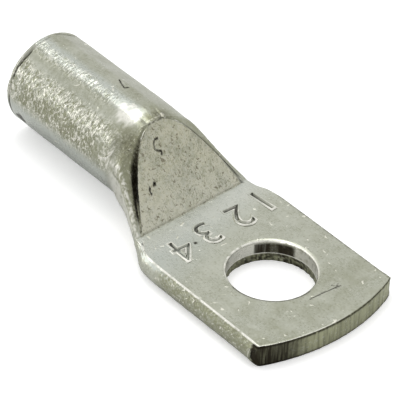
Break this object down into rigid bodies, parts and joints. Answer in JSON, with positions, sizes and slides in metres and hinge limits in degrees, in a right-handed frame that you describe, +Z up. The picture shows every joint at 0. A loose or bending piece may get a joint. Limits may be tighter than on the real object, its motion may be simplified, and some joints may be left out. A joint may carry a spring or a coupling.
{
  "type": "tubular cable lug",
  "caption": "Compression cable lug: a short round wire barrel pressed flat into a palm with a stud hole, with a sloped face between them and a fold down each side.",
  "frame": {"origin": "axis of the stud hole, on the underside of the palm", "axes": "+X along the lug from the barrel's mouth to the palm's tip, +Y across it, +Z up out of the palm's top face"},
  "size_m": [0.0216, 0.0086, 0.005],
  "materials": {
    "tinned_copper": "satin electro-tinned copper, finely wrinkled on the barrel, smooth on the pressed faces, with rough sheared edges"
  },
  "bodies": {
    "root": {"cable_lug": "tinned_copper"}
  },
  "joints": []
}
